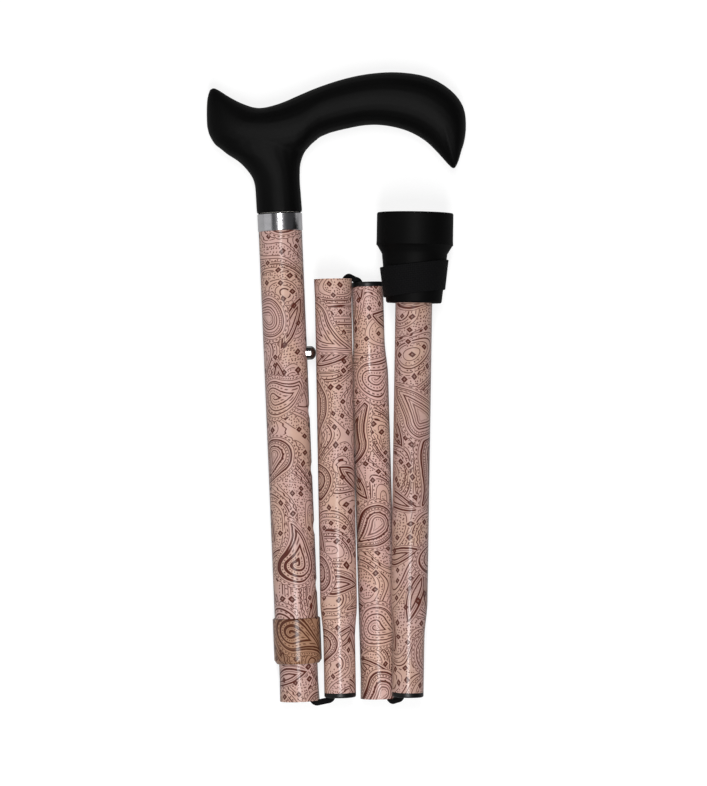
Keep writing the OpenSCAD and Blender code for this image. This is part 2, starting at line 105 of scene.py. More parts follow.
# Each printed tube: its body, a point on its axis, its axis, its radius in mm, where its print starts, in mm,
# and the tone of its ground, a painted shade that darkens or lightens that tube's ground as the light falls
# on it
TUBES = {
    "outer_tube": ("upper_shaft", SHAFT_POINT, SHAFT_AXIS, 9.5, (3, 12), 0.95),
    "inner_tube": ("inner_shaft", SHAFT_POINT, SHAFT_AXIS, 8.4, (61, 40), 0.93),
    "second_tube": ("second_section", (0.017737, -0.203814, 0.005041), (0.024083, 0.99971, 0),
                    SECTION_MM, (118, 7), 0.97),
    "third_tube": ("third_section", (0.036981, -0.023534, -0.002214), (0.011868, 0.99993, 0),
                   SECTION_MM, (181, 95), 1.0),
    "foot_tube": ("foot_section", (0.047012, -0.204542, 0.009073), (0.057215, 0.998362, 0),
                  SECTION_MM, (242, 260), 0.86),
}

# Thickness of a tube's wall, and radius, wall and print start of the lock collar, in mm
WALL_MM, COLLAR_MM, COLLAR_WALL_MM, COLLAR_START = 1.0, 10.4, 1.6, (34.8, 278.1)

# Each fold: the middle of the mouth, the way up into the mouth, the way across to the next section, the pitch
# in mm and how much deeper than the mouth the next nose ends, in mm
FOLDS = {
    "cord_fold_1": ((0, -0.205, 0), (0, 1, 0), (0.961741, 0, 0.273959), 18.4, 0.9),
    "cord_fold_2": ((0.02212, -0.021866, 0.005041), (-0.024083, -0.99971, 0),
                    (0.898533, -0.021646, -0.438371), 16.55, 1.4),
    "cord_fold_3": ((0.034821, -0.205521, -0.002214), (0.011868, 0.99993, 0),
                    (0.731302, -0.00868, 0.681998), 16.55, 0.8),
}

# Cord: threads round it, length of a thread, steps of its path when it is bent and when it is straight,
# share of the diameter that is left in a knot, and steps of a knot's path
CORD_THREADS, CORD_PITCH, BENT_STEP, STRAIGHT_STEP = 8, 0.0011, 0.0004, 0.002
KNOT_SHARE, KNOT_STEPS = 0.8, 120

# Cord at a fold: radius of its bends, how deep its ends lie, and how far from the mouth's and nose's axis
FOLD_BEND, FOLD_DEEP, MOUTH_END, NOSE_END = 0.0023, 0.004, 0.005, 0.00325

# Ridge on the handle's nose: its foot, middle and head seen from above, its height, spread and reach,
# and how many places on each of its legs are tried as the nearest
RIDGE = [Vector((0.0768, 0.0252)), Vector((0.0744, 0.0369)), Vector((0.073, 0.044))]
RIDGE_HEIGHT, RIDGE_SPREAD, RIDGE_REACH, RIDGE_TRIES = 0.0005, 0.0009, 0.003, 12

# Blunt tip of the nose: its middle, the way it is filled out, how far, its spread and its reach
TIP, TIP_WAY = Vector((0.0782, 0.0266)), Vector((0.9, -0.436, 0))
TIP_FILL, TIP_SPREAD, TIP_REACH = 0.0009, 0.0038, 0.01

# Snap button: radius of the stud, radius of its CAD edge, depth of its dome, share of the dome that is round
STUD_RADIUS, EDGE_RADIUS, DOME_DEPTH, DOME_TURN = 0.003, 0.0012, 0.0023, 0.9

# Middle of the ferrule's sole, and the foot section's axis towards it
SOLE, SOLE_AXIS = Vector((0.059027, 0.005114, 0.009074)), Vector((0.057215, 0.998362, 0))

# Ferrule's head: its height, the radius past which it is drawn out, the radius of its crisp rim,
# and how much and how deep the rim's edge is rounded
HEAD_HEIGHT, HEAD_FROM, RIM_RADIUS, RIM_EASE, RIM_EASE_DEPTH = 0.013, 0.015, 0.0166, 0.0003, 0.0005

# Ferrule's sleeve: its radius at the head, how far from the sole that is, how much it narrows, and its length
SLEEVE_RADIUS, SLEEVE_START, SLEEVE_NARROWS, SLEEVE_LENGTH = 0.0142, 0.0178, 0.0021, 0.0212

# Woven band: width, thickness, distance of its middle from the sole, room under it, radius of its edges,
# slant, where the wrap starts, its overlap and the ramp onto it in radians, and its threads and its cells,
# each round and across it
BAND_WIDE, BAND_THICK, BAND_DOWN, BAND_ROOM, BAND_EDGE = 0.013, 0.00075, 0.0284, 0.0001, 0.0003
BAND_SLANT, BAND_START, BAND_OVERLAP, BAND_RAMP = math.radians(7.4), 2.0, 0.9, 0.5
BAND_THREADS, BAND_CELLS = (120, 14), (200, 16)

# Camera: its place, its turn, focal length and sensor in mm
CAMERA_PLACE, CAMERA_TURN, LENS_MM, SENSOR_MM = (0.029, -0.0718, 1.5), math.radians(-2.38), 157.3, 36.0

# Paper floor: its size and middle, how much light it scatters, how bright it shows, and the share in mirrors
FLOOR_SIZE, FLOOR_MIDDLE = 4.0, (0.03, -0.07, FLOOR_Z)
FLOOR_TONE, FLOOR_GLOW, FLOOR_MIRRORED = 0.33, 0.745, 0.15

# What all colour properties share
COLOUR = {"subtype": "COLOR", "size": 3, "min": 0, "max": 1}


class CaneSizes(bpy.types.PropertyGroup):
    """Sizes of the pieces that are modelled here"""
    grip_voxel: bpy.props.FloatProperty(
        name="Grip voxel", description="Size of the cells that the handle is remeshed with",
        default=0.0006, unit="LENGTH")
    grip_rounds: bpy.props.IntProperty(
        name="Grip smoothing", description="How often the remeshed handle is smoothed", default=9, min=0)
    cord_d: bpy.props.FloatProperty(
        name="Cord diameter", description="Diameter of the elastic cord", default=0.0027, unit="LENGTH")
    cord_mouth: bpy.props.FloatProperty(
        name="Cord at mouth", description="Distance of the cord from the axis where it leaves a mouth",
        default=0.0057, unit="LENGTH")
    cord_nose: bpy.props.FloatProperty(
        name="Cord at nose", description="Distance of the cord from the axis where it enters a nose",
        default=0.0034, unit="LENGTH")
    cord_drop: bpy.props.FloatProperty(
        name="Cord drop", description="Distance from the mouth to the middle of the cord as it crosses",
        default=0.00105, unit="LENGTH")
    cord_slack: bpy.props.FloatProperty(
        name="Cord slack", description="How much of a section's cord is taken up when a nose slides in",
        default=0.036, unit="LENGTH")
    band_slack: bpy.props.FloatProperty(
        name="Band slack", description="How far the woven band stands off the sleeve on its loose side",
        default=0.0006, unit="LENGTH")


class CaneColours(bpy.types.PropertyGroup):
    """Colours of the finishes"""
    pink: bpy.props.FloatVectorProperty(
        name="Print ground", description="Pinkish ground of the printed tubes",
        default=(0.63, 0.405, 0.36), **COLOUR)
    tan: bpy.props.FloatVectorProperty(
        name="Print ground, warm", description="Warmer ground in patches of the print",
        default=(0.63, 0.405, 0.32), **COLOUR)
    ink: bpy.props.FloatVectorProperty(
        name="Print ink", description="Brown ink of the paisley lines",
        default=(0.092, 0.022, 0.0145), **COLOUR)
    collar: bpy.props.FloatVectorProperty(
        name="Collar ground", description="Tan ground of the lock collar's print",
        default=(0.38, 0.21, 0.13), **COLOUR)
    collar_ink: bpy.props.FloatVectorProperty(
        name="Collar ink", description="Dark brown ink of the lock collar's print",
        default=(0.085, 0.024, 0.0105), **COLOUR)
    soft_touch: bpy.props.FloatVectorProperty(
        name="Soft touch", description="Matte black coat of the handle",
        default=(0.0009, 0.0009, 0.0009), **COLOUR)
    rubber: bpy.props.FloatVectorProperty(
        name="Rubber", description="Black rubber of the foot",
        default=(0.0016, 0.0016, 0.0016), **COLOUR)


def feed(tree, socket, term):
    """Links a socket to another one, or sets it to a plain value."""
    if isinstance(term, bpy.types.NodeSocket):
        tree.links.new(term, socket)
    else:
        socket.default_value = term


def feed_named(tree, node, **terms):
    """Feeds a node's inputs by their names, with an underscore for each space."""
    for label, term in terms.items():
        feed(tree, node.inputs[label.replace("_", " ")], term)


def operate(tree, kind, operation, terms):
    """Outputs of a Math or Vector Math node that takes its terms in order."""
    node = tree.nodes.new(kind)
    node.operation = operation
    for socket, term in zip(node.inputs, terms):
        feed(tree, socket, term)
    return node.outputs


def calc(tree, operation, *terms):
    """Value of a Math node."""
    return operate(tree, "ShaderNodeMath", operation, terms)["Value"]


def shift(tree, operation, *terms):
    """Vector of a Vector Math node."""
    return operate(tree, "ShaderNodeVectorMath", operation, terms)["Vector"]


def split(tree, vector):
    """The three parts of a vector."""
    node = tree.nodes.new("ShaderNodeSeparateXYZ")
    feed(tree, node.inputs["Vector"], vector)
    return node.outputs["X"], node.outputs["Y"], node.outputs["Z"]


def combine(tree, *parts):
    """A vector from its parts."""
    node = tree.nodes.new("ShaderNodeCombineXYZ")
    for socket, part in zip(node.inputs, parts):
        feed(tree, socket, part)
    return node.outputs["Vector"]


def fade(tree, value, start, end):
    """Smooth step from 0 at start to 1 at end."""
    node = tree.nodes.new("ShaderNodeMapRange")
    node.interpolation_type = "SMOOTHSTEP"
    feed_named(tree, node, Value=value, From_Min=start, From_Max=end)
    return node.outputs["Result"]


def blend_colours(tree, share, first, second):
    """Colour between two colours. The Mix node names its sockets alike, so they are taken by number."""
    node = tree.nodes.new("ShaderNodeMix")
    node.data_type = "RGBA"
    feed(tree, node.inputs["Factor"], share)
    feed(tree, node.inputs[6], first)
    feed(tree, node.inputs[7], second)
    return node.outputs[2]


def noise(tree, place, scale, detail, output="Fac"):
    """Noise at a place."""
    node = tree.nodes.new("ShaderNodeTexNoise")
    feed_named(tree, node, Vector=place, Scale=scale, Detail=detail)
    return node.outputs[output]


def cells(tree, place, jitter, feature="F1", metric="EUCLIDEAN"):
    """Flat cells round scattered points."""
    node = tree.nodes.new("ShaderNodeTexVoronoi")
    node.voronoi_dimensions = "2D"
    node.feature = feature
    if feature == "F1":
        node.distance = metric
    feed_named(tree, node, Vector=place, Scale=1.0, Randomness=jitter)
    return node


def wander(tree, place, scale, amount):
    """Place moved about by a smooth noise, as a hand-drawn line wanders."""
    offset = shift(tree, "SUBTRACT", noise(tree, place, scale, 1.0, "Color"), (0.5, 0.5, 0.5))
    return shift(tree, "ADD", place, shift(tree, "MULTIPLY", offset, (amount, amount, 0)))


class Field:
    """A number that varies over a surface. Arithmetic with it adds Math nodes to its tree."""

    def __init__(self, tree, socket):
        self.tree, self.socket = tree, socket

    def make(self, operation, *terms):
        """Field that a Math node makes of fields and plain values."""
        plain = (getattr(term, "socket", term) for term in terms)
        return Field(self.tree, calc(self.tree, operation, *plain))

    def __add__(self, other):
        return self.make("ADD", self, other)

    def __sub__(self, other):
        return self.make("SUBTRACT", self, other)

    def __rsub__(self, other):
        return self.make("SUBTRACT", other, self)

    def __mul__(self, other):
        return self.make("MULTIPLY", self, other)

    def __truediv__(self, other):
        return self.make("DIVIDE", self, other)

    def __gt__(self, other):
        return self.make("GREATER_THAN", self, other)

    def __lt__(self, other):
        return self.make("LESS_THAN", self, other)

    def __abs__(self):
        return self.make("ABSOLUTE", self)

    def sine(self):
        return self.make("SINE", self)

    def fract(self):
        return self.make("FRACT", self)

    def cosine(self):
        return self.make("COSINE", self)

    def most(self, *others):
        """Largest of this and others."""
        result = self
        for other in others:
            result = self.make("MAXIMUM", result, other)
        return result

    def rise(self, start, end):
        """Smooth step from 0 at start to 1 at end."""
        return Field(self.tree, fade(self.tree, self.socket, start, end))

    def stroke(self, half, soft=0.08):
        """1 on a drawn line and 0 off it, where this is the distance from the line's middle."""
        return (abs(self) - half).rise(soft, -soft)


def hypot(x, y):
    """Length of a flat vector."""
    square = x * x + y * y
    return square.make("SQRT", square)


def scattered(tree, place, cell, jitter, seed, metric="EUCLIDEAN"):
    """Scattered points. Returns the two parts of the place from the nearest point, turned by chance, three
    chance values of the point, the distance to the border between points and that to the point, in mm."""
    at = shift(tree, "MULTIPLY_ADD", place, (1 / cell,) * 3, (seed, 1.7 * seed, 0))
    grid = cells(tree, at, jitter, metric=metric)
    chance = [Field(tree, part) for part in split(tree, grid.outputs["Color"])]
    offset = shift(tree, "SUBTRACT", at, grid.outputs["Position"])
    x, y = (Field(tree, part) * cell for part in split(tree, offset)[:2])
    turn = chance[0] * (2 * math.pi)
    hand = (chance[1] > 0.5) * 2 - 1
    u = (x * turn.cosine() + y * turn.sine()) * hand
    v = y * turn.cosine() - x * turn.sine()
    border = Field(tree, cells(tree, at, jitter, "DISTANCE_TO_EDGE").outputs["Distance"]) * cell
    return u, v, chance, border, Field(tree, grid.outputs["Distance"]) * cell


def drop_distance(u, v, size):
    """Distance in mm from the outline of a drop with a bent tip, and the angles round the drop and its belly.
    At size 1 the belly's and the tip's radius and the way between their middles are wide, tip and tall."""
    wide, tip, tall, bend = 3.9, 0.25, 9.5, 0.05
    belly_down, middle_up = 3.0, 2.0
    slant = (wide - tip) / tall
    upright = math.sqrt(1 - slant * slant)
    v = v / size + belly_down
    ahead = v.most(0.0)
    bent = u / size - ahead * ahead * bend
    side = abs(bent)
    past = v * upright - side * slant
    low, high = past < 0.0, past > upright * tall
    round_end = hypot(side, v) - wide
    point_end = hypot(side, v - tall) - tip
    flank = side * upright + v * slant - wide
    distance = low * round_end + high * point_end + (1 - low - high) * flank
    return distance * size, bent.make("ARCTAN2", bent, v - middle_up), bent.make("ARCTAN2", bent, v)


def leaf_distance(u, v, long, wide):
    """Distance in mm from the outline of a leaf that is pointed at both ends."""
    arc = (long * long + wide * wide) / (2 * wide)
    return hypot(abs(u) + (arc - wide), v) - arc


def new_group(name, given, made):
    """An empty node group. Returns its tree and, inside of it, its named inputs and outputs."""
    tree = bpy.data.node_groups.new(name, "ShaderNodeTree")
    for label in given:
        kind = "NodeSocketVector" if label == "Place" else "NodeSocketFloat"
        tree.interface.new_socket(label, in_out="INPUT", socket_type=kind)
    for label in made:
        tree.interface.new_socket(label, in_out="OUTPUT", socket_type="NodeSocketFloat")
    return tree, tree.nodes.new("NodeGroupInput").outputs, tree.nodes.new("NodeGroupOutput").inputs


def paisley_group():
    """Node group that draws the paisley in ink, from a place on the print in mm. A line lies as far outside
    an outline as is taken off the distance, and as far inside as is added. A stroke gets half its width."""
    tree, given, result = new_group("paisley_print", ("Place", "Fine share"), ("Ink", "Patch"))
    place = wander(tree, wander(tree, given["Place"], 0.04, 8.0), 0.4, 0.3)
    hair, fine, plain, dot = 0.17, 0.19, 0.26, 0.28

    # Large drops: scalloped rim, dotted row, main stroke with a heavy side, then a curl, or rows and a kernel
    u, v, chance, border, _ = scattered(tree, place, cell=37.0, jitter=0.6, seed=3.4)
    drop, angle, belly_angle = drop_distance(u, v, chance[2] * 0.6 + 1.7)
    drop = drop.make("SMOOTH_MAX", drop, 1.2 - border, 0.9)
    scallop = abs((angle * 14.0).sine()) * 0.55
    beads = (angle * 42.0).sine().rise(-0.3, 0.3)
    heavy = (angle + chance[1] * 9.0).cosine().most(0.0)
    zigzag = abs((angle * 3.5).fract() - 0.5) * 1.6
    ladder = (angle * 34.0).sine().stroke(0.3, 0.2)
    rim = (drop - 2.5 - scallop).stroke(0.2)
    outer_row = (drop - 1.9).stroke(dot) * beads
    outer_line = (drop - 1.25).stroke(hair)
    bold = chance[1] > Field(tree, given["Fine share"])
    main = drop.stroke((heavy * heavy * 0.42 + 0.12) * bold + plain)
    inner_line = (drop + 0.8).stroke(hair)
    inner_row = (drop + 1.35).stroke(dot) * beads
    steps = (drop + 1.4).stroke(0.5) * ladder
    rows = (chance[0] > 0.25) * inner_row + (chance[0] < 0.25) * steps
    second_line = (drop + 2.0).stroke(fine)
    flame = (drop + 2.9 + zigzag).stroke(plain) * (chance[1] > 0.4)
    kernel = (drop + 3.4).stroke(chance[1] * 0.4 + 0.15)
    heart = (drop + 4.5).stroke(fine)
    seed_dot = (drop + 5.6).stroke(0.3).most((drop + 6.6).stroke(0.24) * beads)
    turns = drop * 0.42 - belly_angle * (0.5 / math.pi)
    curl_gap = 2.4
    curl = ((turns.fract() - 0.5) * curl_gap).stroke((heavy * 0.3 + 0.1) * bold + plain)
    curl_beads = (belly_angle * 20.0).sine().rise(-0.3, 0.3)
    curl_dots = (((turns + 0.5).fract() - 0.5) * curl_gap).stroke(0.27) * curl_beads
    curled = curl.most(curl_dots * 0.85) * drop.rise(-0.3, -0.6)
    filled = inner_line.most(rows * 0.85, second_line * 0.9, flame, kernel * 0.95, heart * 0.85,
                             seed_dot * 0.8)
    has_curl = chance[0] > 0.55
    drawn = main.most(rim * 0.9, outer_row * 0.9, outer_line * 0.8, curled * has_curl,
                      filled * (1 - has_curl))
    outside = drop.rise(2.95, 3.15)

    # Pointed leaves with a thick outline and a midrib behind the drops
    u, v, leaf_chance, _, _ = scattered(tree, place, cell=21.0, jitter=0.75, seed=11.0)
    leaf = leaf_distance(u, v, long=11.0, wide=3.1)
    grown = outside * (leaf_chance[2] > 0.35)
    veins = (v * 6.0).sine().stroke(0.3, 0.25) * leaf.rise(-0.6, -0.8)
    leaves = leaf.stroke(0.4).most((leaf - 1.0).stroke(0.15) * 0.8, (leaf + 0.9).stroke(0.15) * 0.8,
                                   (leaf + 1.9).stroke(0.3), veins * 0.6) * grown
    field = outside * (1 - grown * leaf.rise(1.35, 1.15))

    # Sweeping bands between them: contours of a noise, whose slope gives all lines an even width
    step = 0.5
    level, *beside = (
        Field(tree, noise(tree, shift(tree, "ADD", given["Place"], way), 0.035, 0.0)) * 4.6
        for way in ((0, 0, 0), (step, 0, 0), (0, step, 0)))
    slope = hypot(*(value - level for value in beside)).most(0.01) * (1 / step)
    sweep = level.fract()
    along = Field(tree, split(tree, place)[1])
    teeth = abs((along * 0.45).fract() - 0.5) * 1.3
    speck = scattered(tree, place, cell=1.2, jitter=0.65, seed=2.0)[4].rise(0.42, 0.24)
    thin_at, dotted_at, thick_at, toothed_at = (0.2, 0.3, 0.42, 0.64, 0.82), (0.36, 0.58), 0.5, 0.72
    contours = {at: (sweep - at) / slope for at in (*thin_at, *dotted_at, thick_at, toothed_at)}
    bands = contours[thick_at].stroke(dot).most(
        *(contours[at].stroke(fine) * 0.9 for at in thin_at),
        *(contours[at].stroke(0.5) * speck for at in dotted_at),
        (contours[toothed_at] - teeth).stroke(0.24))

    # Stipple beside the bands, small diamonds with a clear rim, and warmer patches of the ground
    stipple = speck * field * sweep.rise(0.82, 0.86).most(sweep.rise(0.2, 0.16))
    _, _, gem_chance, _, gem_mm = scattered(tree, place, cell=6.3, jitter=0.75, seed=7.0, metric="MANHATTAN")
    shown = gem_chance[0] > 0.25
    gem = gem_mm.rise(1.6, 1.3) * shown * (1 - gem_mm.rise(0.6, 0.4) * 0.35)
    halo = 1 - gem_mm.rise(2.3, 2.0) * shown * outside
    ink = drawn.most(leaves, bands * field * halo, stipple * halo * 0.9, gem * outside)
    feed(tree, result["Ink"], ink.socket)
    feed(tree, result["Patch"], noise(tree, given["Place"], 0.05, 1.0))
    return tree


def grain_group():
    """Node group for fine grain: height and roughness that change over the surface, and smudges."""
    tree, given, result = new_group("fine_grain", ("Place", "Grains per mm", "Rough from", "Rough to"),
                                    ("Height", "Rough", "Smudge"))
    grain = noise(tree, given["Place"], calc(tree, "MULTIPLY", given["Grains per mm"], 1000.0), 3.0)
    smudge = noise(tree, given["Place"], 45.0, 3.0)
    spread = calc(tree, "SUBTRACT", given["Rough to"], given["Rough from"])
    feed(tree, result["Height"], grain)
    feed(tree, result["Rough"], calc(tree, "MULTIPLY_ADD", smudge, spread, given["Rough from"]))
    feed(tree, result["Smudge"], smudge)
    return tree


def weave_group():
    """Node group for braided and woven threads, from a place counted in threads."""
    tree, given, result = new_group("woven_threads", ("Place",), ("Height",))
    across, along = ((Field(tree, part) * math.pi).sine() for part in split(tree, given["Place"])[:2])
    over = (across * along).rise(-0.2, 0.2)
    height = over * abs(across) + (1 - over) * abs(along)
    feed(tree, result["Height"], height.socket)
    return tree


def shared(name):
    """A node group of the scene by its name, made the first time it is asked for."""
    makers = {"paisley_print": paisley_group, "fine_grain": grain_group, "woven_threads": weave_group}
    return bpy.data.node_groups.get(name) or makers[name]()


def placed(tree, name, **terms):
    """A shared node group placed in a material, with the terms that its inputs are fed."""
    node = tree.nodes.new("ShaderNodeGroup")
    node.node_tree = shared(name)
    feed_named(tree, node, **terms)
    return node.outputs


def blank_material(name):
    """A new material without nodes, and its tree."""
    material = bpy.data.materials.new(name)
    material.use_nodes = True
    material.node_tree.nodes.clear()
    return material, material.node_tree


def new_finish(name, **sockets):
    """A material with its Principled shader, whose plain values are given by socket name."""
    material, tree = blank_material(name)
    shader = tree.nodes.new("ShaderNodeBsdfPrincipled")
    out = tree.nodes.new("ShaderNodeOutputMaterial")
    tree.links.new(shader.outputs["BSDF"], out.inputs["Surface"])
    feed_named(tree, shader, **sockets)
    return material, tree, shader


def object_place(tree):
    """Object coordinates."""
    return tree.nodes.new("ShaderNodeTexCoord").outputs["Object"]


def raised(tree, shader, height, depth, strength=1.0):
    """Bump of a given depth in metres on a shader."""
    bump = tree.nodes.new("ShaderNodeBump")
    feed_named(tree, bump, Strength=strength, Distance=depth, Height=height)
    tree.links.new(bump.outputs["Normal"], shader.inputs["Normal"])


def opaque(colour):
    """A property's colour with full alpha, as sockets take it."""
    return (*colour, 1.0)


def toned(colour, tone):
    """A colour made lighter or darker."""
    return [tone * part for part in colour]


def wear(node, material):
    """Gives a CAD node its finish."""
    slots = NODES[node].data.materials
    slots.clear()
    slots.append(material)


def tube_turn(axis):
    """Turn whose Y runs along a tube and whose Z points up from the table."""
    along = Vector(axis).normalized()
    up = (Vector((0, 0, 1)) - along * along.z).normalized()
    return Matrix((along.cross(up), along, up)).transposed().to_euler()


def round_tube(tree, centre, axis):
    """Place round a tube's own axis: angle from the top, and in mm the distances along and from the axis."""
    mapping = tree.nodes.new("ShaderNodeMapping")
    mapping.vector_type = "TEXTURE"
    feed_named(tree, mapping, Vector=object_place(tree), Location=centre, Rotation=tube_turn(axis),
               Scale=(0.001, 0.001, 0.001))
    x, along, z = (Field(tree, part) for part in split(tree, mapping.outputs["Vector"]))
    return x.make("ARCTAN2", x, z).socket, along.socket, hypot(x, z).socket


def printed_finish(name, centre, axis, radius, start, wall, ground, warm, ink, nose=0.0, fine_share=0.45,
                   tone=1.0):
    """Glossy lacquered print round a tube, with bare metal on its inside. A tube with a nose narrows to it.
    The fine share of the drops has a main stroke without a heavy side. The tone scales the ground's
    brightness as painted shade, for how the light falls on that tube."""
    bare_metal, coat, patch_from, patch_to = (0.55, 0.55, 0.56), 0.7, 0.4, 0.62
    material, tree, shader = new_finish(name, Coat_Roughness=0.16, IOR=1.5, Specular_IOR_Level=0.15,
                                        Coat_IOR=1.4)
    angle, along, off = round_tube(tree, centre, axis)
    place = combine(tree, calc(tree, "MULTIPLY_ADD", angle, radius, start[0]),
                    calc(tree, "ADD", along, start[1]), 0.0)
    paisley = placed(tree, "paisley_print", Place=place, Fine_share=fine_share)
    patch = fade(tree, paisley["Patch"], patch_from, patch_to)
    cloud = noise(tree, place, 0.35, 3.0)
    shaded = tree.nodes.new("ShaderNodeVectorMath")
    shaded.operation = "SCALE"
    feed(tree, shaded.inputs[0], blend_colours(tree, patch, opaque(ground), opaque(warm)))
    # Painted shade: the tone darkens or lightens the ground per tube; the cloud varies it at random
    feed(tree, shaded.inputs["Scale"], calc(tree, "MULTIPLY_ADD", cloud, 0.2 * tone, 0.9 * tone))
    inked = blend_colours(tree, paisley["Ink"], shaded.outputs["Vector"], opaque(ink))
    outside = radius
    if nose:
        widened = fade(tree, calc(tree, "ABSOLUTE", along), *TAPER_MM)
        outside = calc(tree, "MULTIPLY_ADD", widened, radius - nose, nose)
    inside = calc(tree, "SUBTRACT", outside, off)
    skin = fade(tree, inside, 0.75 * wall, 0.6 * wall)
    feed_named(tree, shader, Base_Color=blend_colours(tree, skin, opaque(bare_metal), inked),
               Metallic=calc(tree, "SUBTRACT", 1.0, skin), Coat_Weight=calc(tree, "MULTIPLY", skin, coat),
               Roughness=calc(tree, "MULTIPLY_ADD", cloud, 0.15, 0.3))
    peel = noise(tree, place, 0.9, 1.0)
    raised(tree, shader, calc(tree, "MULTIPLY_ADD", paisley["Ink"], 0.25, peel), 0.00003, 0.3)
    return material


def copied(node, name):
    """A copy of a CAD node's shape as a new piece of its own, ready to be worked on."""
    bpy.ops.object.select_all(action="DESELECT")
    NODES[node].select_set(True)
    bpy.context.view_layer.objects.active = NODES[node]
    bpy.ops.object.duplicate()
    piece = bpy.context.object
    bpy.ops.object.parent_clear(type="CLEAR_KEEP_TRANSFORM")
    for key in list(piece.keys()):
        del piece[key]
    piece.name = name
    bpy.ops.object.transform_apply(location=True, rotation=True, scale=True)
    bpy.ops.mesh.customdata_custom_splitnormals_clear()
    merge_doubles()
    return piece


def merge_doubles():
    """Merges doubled vertices of the active piece and turns its normals outward."""
    bpy.ops.object.mode_set(mode="EDIT")
    bpy.ops.mesh.select_all(action="SELECT")
    bpy.ops.mesh.remove_doubles(threshold=MERGE_REACH)
    bpy.ops.mesh.normals_make_consistent(inside=False)
    bpy.ops.object.mode_set(mode="OBJECT")


def settle(piece, body, node, material):
    """Gives a finished piece its material, body and slot, and puts it in place of its CAD node."""
    piece.data.materials.clear()
    piece.data.materials.append(material)
    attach(piece, body)
    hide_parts(node)


def smoothed(node, name, body, material, shaped=None):
    """A CAD node's shape with its curved faces shaded smooth, in a finish. It may be shaped before that."""
    piece = copied(node, name)
    if shaped:
        shaped(piece)
    bpy.ops.object.shade_smooth_by_angle(angle=SMOOTH_ANGLE)
    settle(piece, body, node, material)
    return piece


class CANE_OT_print_tubes(bpy.types.Operator):
    """Prints the paisley on the shaft's tubes"""
    bl_idname = "cane.print_tubes"
    bl_label = "Print Tubes"

    def execute(self, context):
        colours = context.scene.cane_colours
        for node, (body, centre, axis, radius, start, tone) in TUBES.items():
            nose = NOSE_MM if radius == SECTION_MM else 0.0
            # tone is painted shade on the tube's ground, set per tube for the light it gets
            finish = printed_finish("print_" + node, centre, axis, radius, start, WALL_MM, colours.pink,
                                    colours.tan, colours.ink, nose, tone=tone)
            smoothed(node, "printed_" + node, body, finish)
        return {"FINISHED"}


class CANE_OT_print_collar(bpy.types.Operator):
    """Prints the paisley on the lock collar's darker ground"""
    bl_idname = "cane.print_collar"
    bl_label = "Print Collar"

    def execute(self, context):
        colours = context.scene.cane_colours
        finish = printed_finish("print_collar", SHAFT_POINT, SHAFT_AXIS, COLLAR_MM, COLLAR_START,
                                COLLAR_WALL_MM, colours.collar, colours.collar, colours.collar_ink,
                                fine_share=0.0)
        smoothed("lock_collar", "printed_collar", "lock_collar", finish)
        return {"FINISHED"}


def grained_finish(name, colour, smudged, grains, rough, depth, **sockets):
    """Solid finish with fine grain and smudges: matte coats, rubber, plastics and metals."""
    material, tree, shader = new_finish(name, **sockets)
    grain = placed(tree, "fine_grain", Place=object_place(tree), Grains_per_mm=grains,
                   Rough_from=rough[0], Rough_to=rough[1])
    smudge = fade(tree, grain["Smudge"], 0.3, 0.75)
    feed_named(tree, shader, Base_Color=blend_colours(tree, smudge, opaque(colour), opaque(smudged)),
               Roughness=grain["Rough"])
    raised(tree, shader, grain["Height"], depth)
    return material


def turned_finish(name, colour, rough, depth):
    """Metal turned on a lathe about the shaft's axis, with fine grooves round it."""
    material, tree, shader = new_finish(name, Metallic=1.0)
    angle, along, off = round_tube(tree, SHAFT_POINT, SHAFT_AXIS)
    drawn_out = combine(tree, calc(tree, "MULTIPLY", angle, 0.3), calc(tree, "MULTIPLY", along, 9.0), 0.0)
    grooves = noise(tree, drawn_out, 1.0, 2.0)
    handled = combine(tree, calc(tree, "MULTIPLY", angle, 4.0), along, off)
    smudge = noise(tree, handled, 0.5, 2.0)
    dulled = fade(tree, smudge, 0.35, 0.7)
    feed_named(tree, shader, Roughness=calc(tree, "MULTIPLY_ADD", smudge, 0.03, rough),
               Base_Color=blend_colours(tree, dulled, opaque(colour), opaque(toned(colour, 0.94))))
    raised(tree, shader, grooves, depth, 0.5)
    return material


def ridge_distance(flat):
    """Distance from the nose's ridge, seen from above, and how far along the ridge that is, from 0 to 1."""
    legs, parts = len(RIDGE) - 1, [part / RIDGE_TRIES for part in range(RIDGE_TRIES + 1)]
    near, place = min(((RIDGE[leg].lerp(RIDGE[leg + 1], part) - flat).length, leg + part)
                      for leg in range(legs) for part in parts)
    return near, place / legs


def shape_nose(piece):
    """Fills out the blunt tip of the handle's nose and raises the fine ridge that runs up both its faces."""
    middle = sum(corner.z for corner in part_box("handle_grip")) / 2
    for vertex in piece.data.vertices:
        flat = vertex.co.xy
        near, share = ridge_distance(flat)
        tip_off = (flat - TIP).length
        if tip_off < TIP_REACH:
            full = max(0.0, vertex.normal.dot(TIP_WAY)) * math.exp(-(tip_off / TIP_SPREAD) ** 2)
            vertex.co += TIP_WAY * TIP_FILL * full
        if near < RIDGE_REACH:
            lift = RIDGE_HEIGHT * (1 - share) * math.exp(-(near / RIDGE_SPREAD) ** 2)
            vertex.co.z += math.copysign(lift, vertex.co.z - middle)


